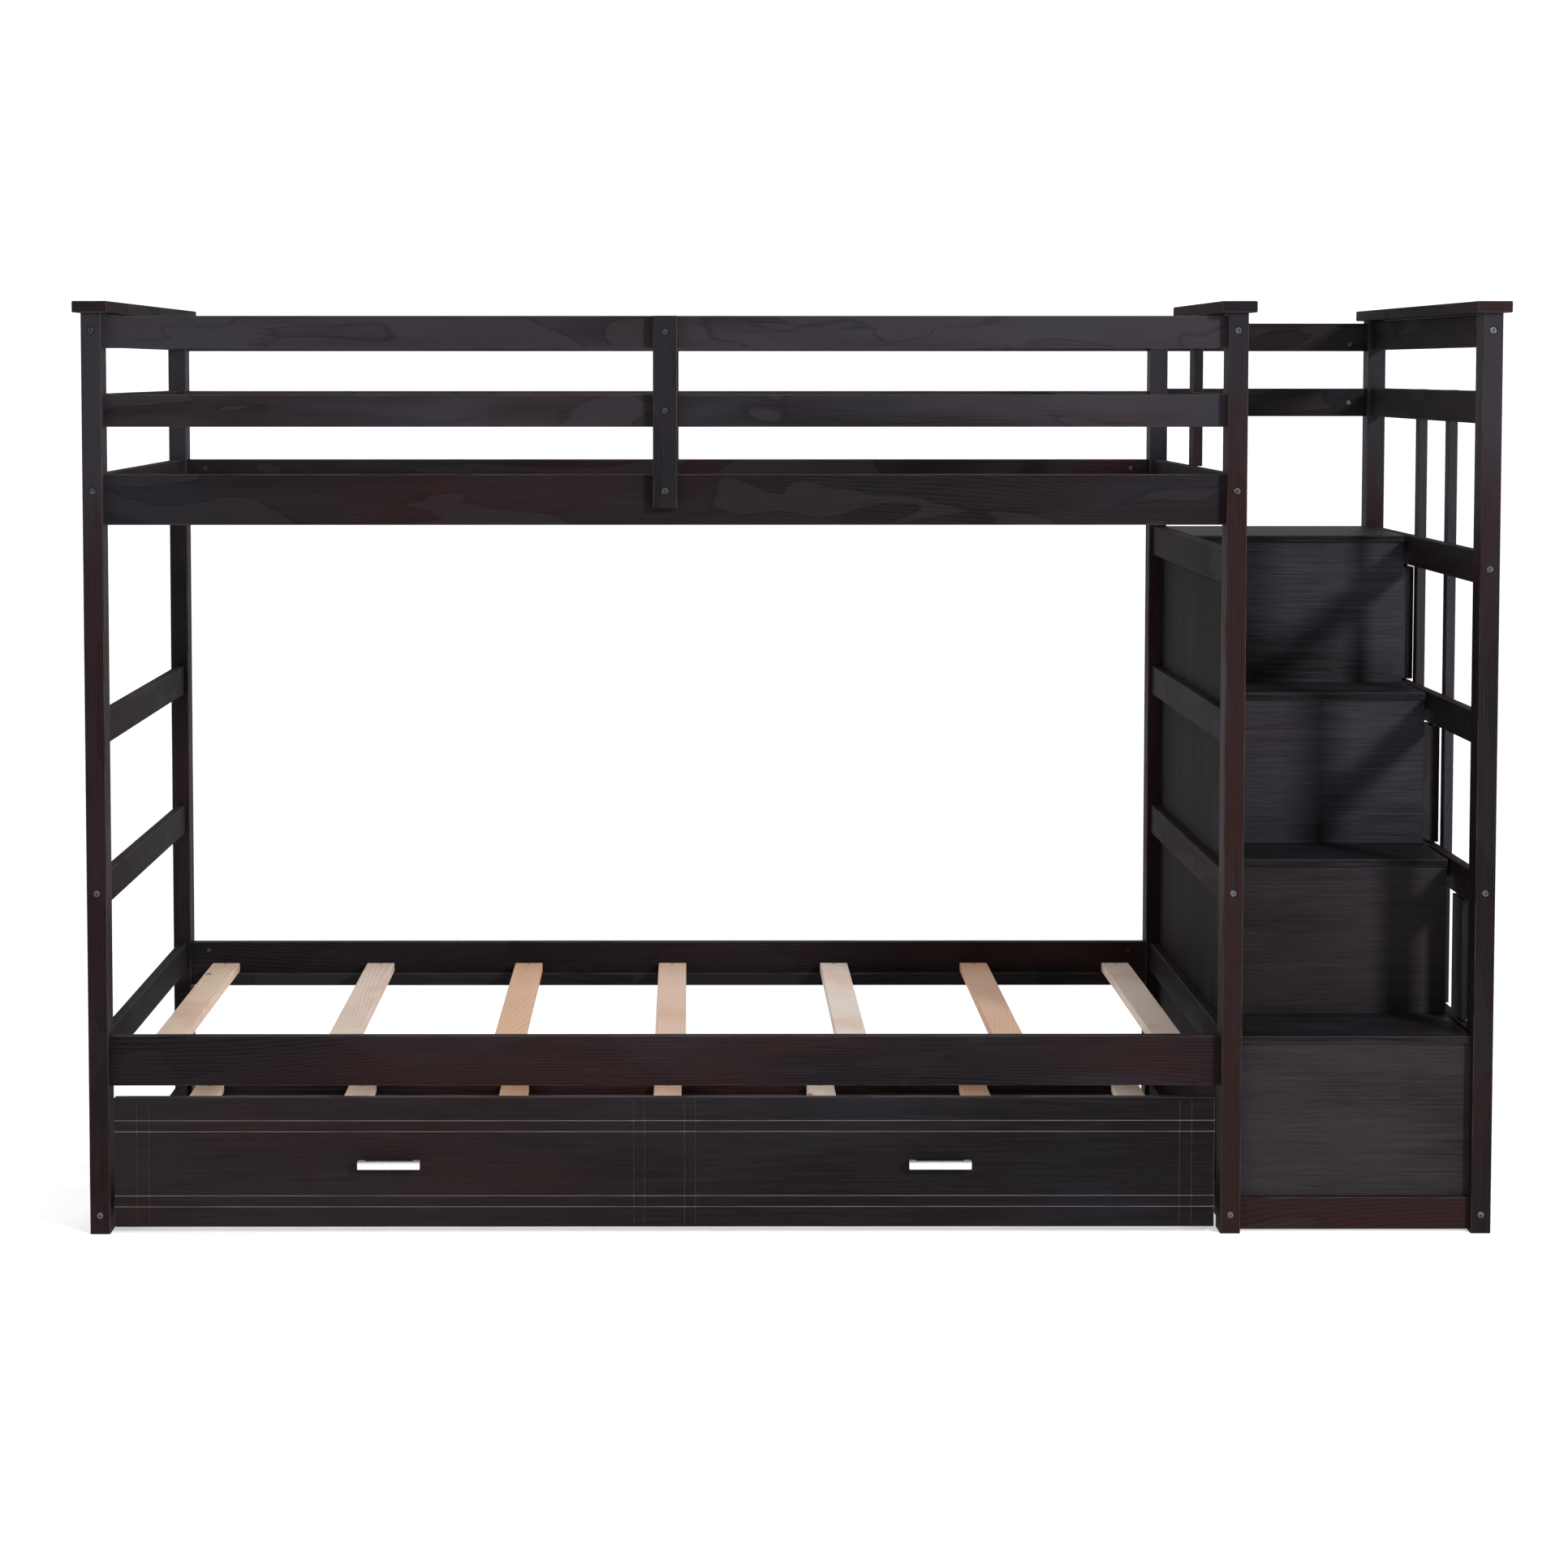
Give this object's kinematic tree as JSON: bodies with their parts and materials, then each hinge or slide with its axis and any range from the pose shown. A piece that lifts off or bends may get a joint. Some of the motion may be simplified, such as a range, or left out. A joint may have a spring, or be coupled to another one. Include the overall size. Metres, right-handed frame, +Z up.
{
  "type": "bunk bed",
  "caption": "Bunk bed with a box staircase at one end, ladder-like end bars, guard rails and a pull-out trundle on castors.",
  "frame": {"origin": "on the floor, under the middle of the bed's outline", "axes": "+X towards the staircase end, -Y towards the front with the trundle's handles, +Z up"},
  "size_m": [2.478, 1.114, 1.628],
  "materials": {
    "dark_wood": "espresso stain under satin lacquer",
    "dark_board": "espresso stained veneer under satin lacquer",
    "slat_wood": "planed and unfinished",
    "steel": "zinc-plated",
    "pull_metal": "brushed",
    "castor_plastic": "moulded",
    "wheel_rubber": "moulded",
    "pin_wood": "plain dowel"
  },
  "bodies": {
    "bed_frame": {"post_front_left": "dark_wood", "post_rear_left": "dark_wood", "post_front_middle": "dark_wood", "post_rear_middle": "dark_wood", "post_front_right": "dark_wood", "post_rear_right": "dark_wood", "cap_left": "dark_wood", "cap_middle": "dark_wood", "cap_right": "dark_wood", "left_guard_bars": "dark_wood", "left_bars": "dark_wood", "middle_guard_bars": "dark_wood", "middle_bars": "dark_wood", "right_guard_bars": "dark_wood", "right_bars": "dark_wood", "entry_upright": "dark_wood", "side_slats": "dark_wood", "side_boards": "dark_wood", "rail_front_lower": "dark_wood", "rail_front_upper": "dark_wood", "rail_rear_lower": "dark_wood", "rail_rear_upper": "dark_wood", "guards_front": "dark_wood", "guards_rear": "dark_wood", "stair_rear_guards": "dark_wood", "batten_front": "dark_wood", "batten_rear": "dark_wood", "ledgers": "dark_wood", "kick_board": "dark_wood", "stair_cleats": "dark_wood", "stair_rear_ties": "dark_wood", "tread_1": "dark_board", "tread_2": "dark_board", "tread_3": "dark_board", "platform": "dark_board", "risers": "dark_board", "stair_inner_panel": "dark_board", "slats_lower": "slat_wood", "slats_upper": "slat_wood", "bolts_end_frames": "steel", "bolts_rails": "steel", "bolts_battens": "steel", "barrel_nuts": "steel", "sleeve_nuts": "steel", "frame_screws": "steel", "board_pins": "pin_wood"},
    "trundle": {"trundle_ends": "dark_wood", "trundle_ledgers": "dark_wood", "trundle_back": "dark_wood", "trundle_front": "dark_board", "trundle_slats": "slat_wood", "trundle_screws": "steel", "castor_axles": "steel", "trundle_handles": "pull_metal", "castor_housings": "castor_plastic"},
    "castor_wheel_1": {"castor_wheel_1": "wheel_rubber"},
    "castor_wheel_2": {"castor_wheel_2": "wheel_rubber"},
    "castor_wheel_3": {"castor_wheel_3": "wheel_rubber"},
    "castor_wheel_4": {"castor_wheel_4": "wheel_rubber"}
  },
  "joints": [
    {"name": "trundle_slide", "type": "slide", "parent": "bed_frame", "child": "trundle", "axis": [0, -1, 0], "range_m": [0, 0.95]},
    {"name": "castor_wheel_1_spin", "type": "hinge", "parent": "trundle", "child": "castor_wheel_1", "pos_m": [-1.1434, -0.434, 0.018], "axis": [1, 0, 0], "continuous": true},
    {"name": "castor_wheel_2_spin", "type": "hinge", "parent": "trundle", "child": "castor_wheel_2", "pos_m": [-1.1434, 0.336, 0.018], "axis": [1, 0, 0], "continuous": true},
    {"name": "castor_wheel_3_spin", "type": "hinge", "parent": "trundle", "child": "castor_wheel_3", "pos_m": [0.7014, -0.434, 0.018], "axis": [1, 0, 0], "continuous": true},
    {"name": "castor_wheel_4_spin", "type": "hinge", "parent": "trundle", "child": "castor_wheel_4", "pos_m": [0.7014, 0.336, 0.018], "axis": [1, 0, 0], "continuous": true}
  ],
  "couplings": [
    {"joint": "castor_wheel_1_spin", "follows": "trundle_slide", "rad_per_m": 55.556},
    {"joint": "castor_wheel_2_spin", "follows": "trundle_slide", "rad_per_m": 55.556},
    {"joint": "castor_wheel_3_spin", "follows": "trundle_slide", "rad_per_m": 55.556},
    {"joint": "castor_wheel_4_spin", "follows": "trundle_slide", "rad_per_m": 55.556}
  ]
}
